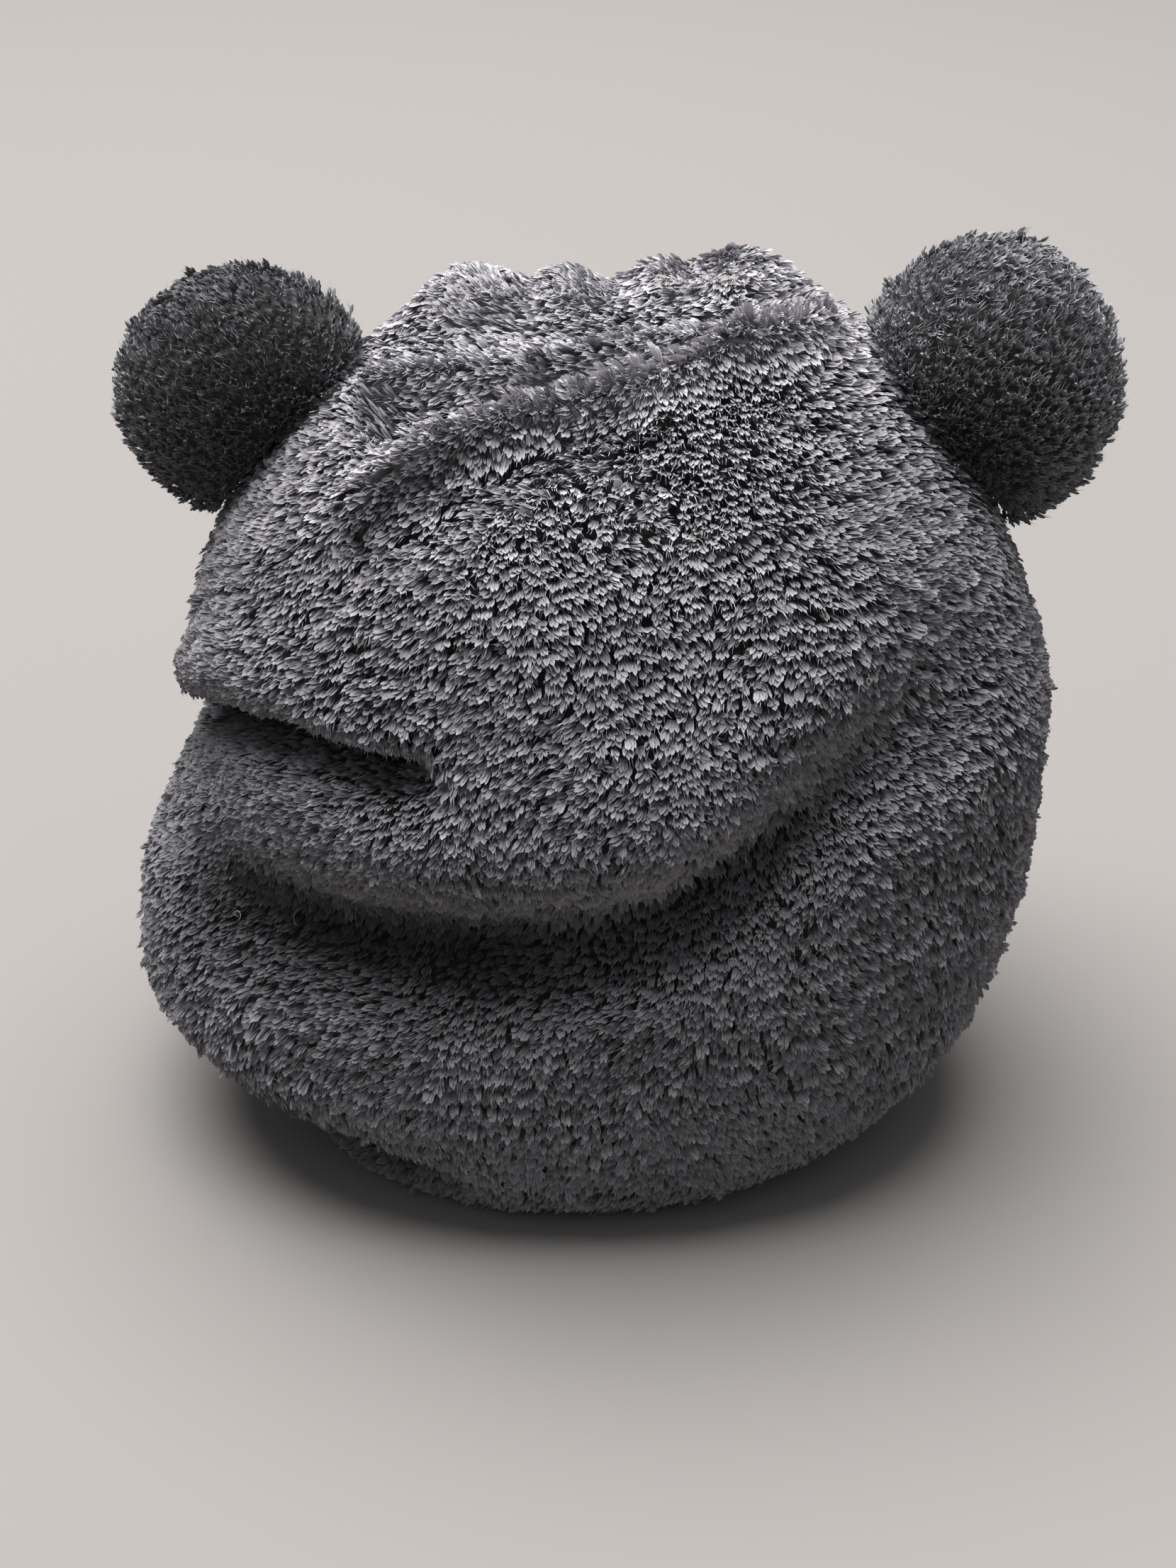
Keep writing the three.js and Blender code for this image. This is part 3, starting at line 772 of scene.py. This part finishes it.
def ear_pile(name, pad, verts, faces, centre, painted_dark_spot, painted_shades):
    corner = verts[faces]
    cross = np.cross(corner[:, 1] - corner[:, 0], corner[:, 2] - corner[:, 0])
    area = np.linalg.norm(cross, axis=1) / 2
    pick = random.choice(len(faces), int(area.sum() * 2.2), p=area / area.sum())
    u = random.uniform(0, 1, (len(pick), 2))
    u[u.sum(1) > 1] = 1 - u[u.sum(1) > 1]
    base = (corner[pick, 0] + u[:, :1] * (corner[pick, 1] - corner[pick, 0])
            + u[:, 1:] * (corner[pick, 2] - corner[pick, 0]))
    vertex_normal = np.zeros_like(verts)
    for c in range(3):
        np.add.at(vertex_normal, faces[:, c], cross)
    vertex_normal = unit(vertex_normal)
    w = np.concatenate([1 - u.sum(1, keepdims=True), u], 1)
    normal = unit((vertex_normal[faces[pick]] * w[..., None]).sum(1))
    normal = normal * np.sign((normal * (base - np.array(centre))).sum(1, keepdims=True) + 1e-9)
    clear = np.array([outside_body(p) for p in base + normal * 2.0])
    keep = clear > 1.2
    base, normal = base[keep], normal[keep]
    keep = spread(base + normal * PILE * 0.5, EAR_APART)
    base, normal = base[keep], normal[keep]
    # the locks run away from where the ear is sewn on
    sewn = np.array(centre) * (0.72, 1.0, 0.88)
    flow = (unit(base - sewn) + 0.22 * drift(base, 26, 7) + 0.15 * drift(base, 8, 8)
            + random.normal(0, 0.12, base.shape))
    flow = unit(flow - normal * (flow * normal).sum(1, keepdims=True))
    # the places are chosen on the plain pad, and then moved to the stuffed one
    swollen = np.array([v.co for v in pad.data.vertices]) / MM - MIDDLE
    tree = BVHTree.FromPolygons(swollen.tolist(), [tuple(p.vertices) for p in pad.data.polygons])
    base = np.array([tree.find_nearest(Vector(p))[0] for p in base])
    run = EAR_RUN * random.uniform(0.75, 1.2, len(base))
    root = np.array([tree.find_nearest(Vector(p))[0] for p in base - flow * run[:, None]])
    height = PILE * EAR_PILE_SHARE[1] + random.gumbel(0, 0.38, len(base)).clip(-0.8, 2.0)
    tip = base + normal * height[:, None]
    # painted shade at the ear's dark spot, fading out to painted light at its rim
    away = np.linalg.norm((base - centre - painted_dark_spot)[:, (0, 2)], axis=1)
    shade = painted_shades[0] + (painted_shades[1] - painted_shades[0]) * smooth(4, 36, away)
    return locks(name + "_pile", tip, root, normal, flow, SHADED_EAR_PILE, shade, width=1.2, thick=0.6, curl=0.2)


ears = {}
for name, ear in EARS.items():
    verts, faces = ear_pad(ear["centre"], ear["radii"], ear["tuck"])
    pad = mesh_object(name + "_pad", *stuffed(verts, faces), KNIT)
    ears[name] = (pad, ear_pile(name, pad, verts, faces, ear["centre"], ear["painted_dark_spot"], ear["painted_shades"]))

# ---------------------------------------------------------------- lint


def lint(name, count):
    """Pale stray fibres that curl on top of the pile: thin three-sided tubes."""
    r = np.random.default_rng(12)
    verts, faces = [], []
    for _ in range(count):
        a, t = r.uniform(-75, 75), r.uniform(0.25, 0.8)
        normal, centre = outer_normal(a, t), outer_face(a, t)
        side = unit(np.cross(normal, (0, 0, 1)))
        up = np.cross(side, normal)
        turn, bend = r.uniform(0, 2 * math.pi), r.normal(0, 0.5)
        at = centre + normal * 0.9
        for k in range(LINT_STEPS + 1):
            way = side * math.cos(turn) + up * math.sin(turn) + normal * r.normal(0, 0.15)
            across, high = unit(np.cross(normal, way)), normal
            for corner in range(3):
                c = corner * 2 * math.pi / 3
                verts.append(at + LINT_RADIUS * (across * math.cos(c) + high * math.sin(c)))
            at = at + unit(way) * LINT_LENGTH / LINT_STEPS
            turn += bend + r.normal(0, 0.25)
        first = len(verts) - 3 * (LINT_STEPS + 1)
        for k in range(LINT_STEPS):
            for corner in range(3):
                i, j = first + 3 * k + corner, first + 3 * k + (corner + 1) % 3
                faces += [(i, j, j + 3), (i, j + 3, i + 3)]
        last = first + 3 * LINT_STEPS
        faces += [(first, first + 2, first + 1), (last, last + 1, last + 2)]
    return mesh_object(name, np.array(verts), np.array(faces), LINT)


front_pile.append(lint("front_lint", 16))

# ---------------------------------------------------------------- floor, light and camera

floor_material, floor_shader = new_material("floor")
floor_shader.inputs["Base Color"].default_value = (0.28, 0.265, 0.256, 1)
floor_shader.inputs["Roughness"].default_value = 0.9
floor_shader.inputs["Specular IOR Level"].default_value = 0.1
floor = bpy.data.objects.new("floor", bpy.data.meshes.new("floor"))
floor.data.from_pydata([(-8, -8, 0), (8, -8, 0), (8, 8, 0), (-8, 8, 0)], [], [(0, 1, 2, 3)])
floor.data.materials.append(floor_material)
bpy.context.scene.collection.objects.link(floor)


def area_light(name, place, aim, size, energy, colour):
    light = bpy.data.lights.new(name, "AREA")
    light.shape, light.size, light.energy, light.color = "DISK", size, energy, colour
    obj = bpy.data.objects.new(name, light)
    obj.location = place
    obj.rotation_euler = (Vector(aim) - Vector(place)).to_track_quat("-Z", "Y").to_euler()
    bpy.context.scene.collection.objects.link(obj)


area_light("key", (-0.4, 0.58, 3.05), (0, 0, 0.1), 3.1, 229, (1.0, 0.99, 0.98))
world = bpy.data.worlds.new("studio")
world.use_nodes = True
sky = world.node_tree.nodes["Background"]
way = world.node_tree.nodes.new("ShaderNodeTexCoord")
height = world.node_tree.nodes.new("ShaderNodeSeparateXYZ")
shade = world.node_tree.nodes.new("ShaderNodeValToRGB")
for element, (place, value) in zip(shade.color_ramp.elements, ((0.1, 0.08), (1.0, 1.0))):
    element.position, element.color = place, (value * 0.96, value * 0.98, value, 1)
world.node_tree.links.new(way.outputs["Generated"], height.inputs[0])
world.node_tree.links.new(height.outputs["Z"], shade.inputs[0])
world.node_tree.links.new(shade.outputs["Color"], sky.inputs["Color"])
sky.inputs["Strength"].default_value = 0.5
bpy.context.scene.world = world
bpy.context.scene.view_settings.view_transform = "Standard"

camera = bpy.data.objects.new("camera", bpy.data.cameras.new("camera"))
camera.data.lens, camera.data.sensor_width = 50, 36
aim = Vector((MIDDLE[0] * MM, MIDDLE[1] * MM, 0.09))
elevation = math.radians(30)
camera.location = aim + 0.52 * Vector((0, -math.cos(elevation), math.sin(elevation)))
camera.rotation_euler = (aim - camera.location).to_track_quat("-Z", "Y").to_euler()
camera.data.shift_x, camera.data.shift_y = -43.5 / 2212, -59 / 2212
camera.data.clip_start, camera.data.clip_end = 0.01, 50
bpy.context.scene.collection.objects.link(camera)
bpy.context.scene.camera = camera

# ---------------------------------------------------------------- each piece attached to the body, with the CAD part it covers hidden

for obj, pile, node, slot in (
    (front_cloth, front_pile, "front_panel", "panel_fleece"),
    (back_cloth, back_pile, "back_panel", "panel_fleece"),
    (hem_cloth, hem_pile, "hem", "hem_fleece"),
    (*ears["ear_left"], "ear_left", "ear_fleece"),
    (*ears["ear_right"], "ear_right", "ear_fleece"),
):
    for piece in (obj, *pile):
        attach(piece, "root")
        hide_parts(node)
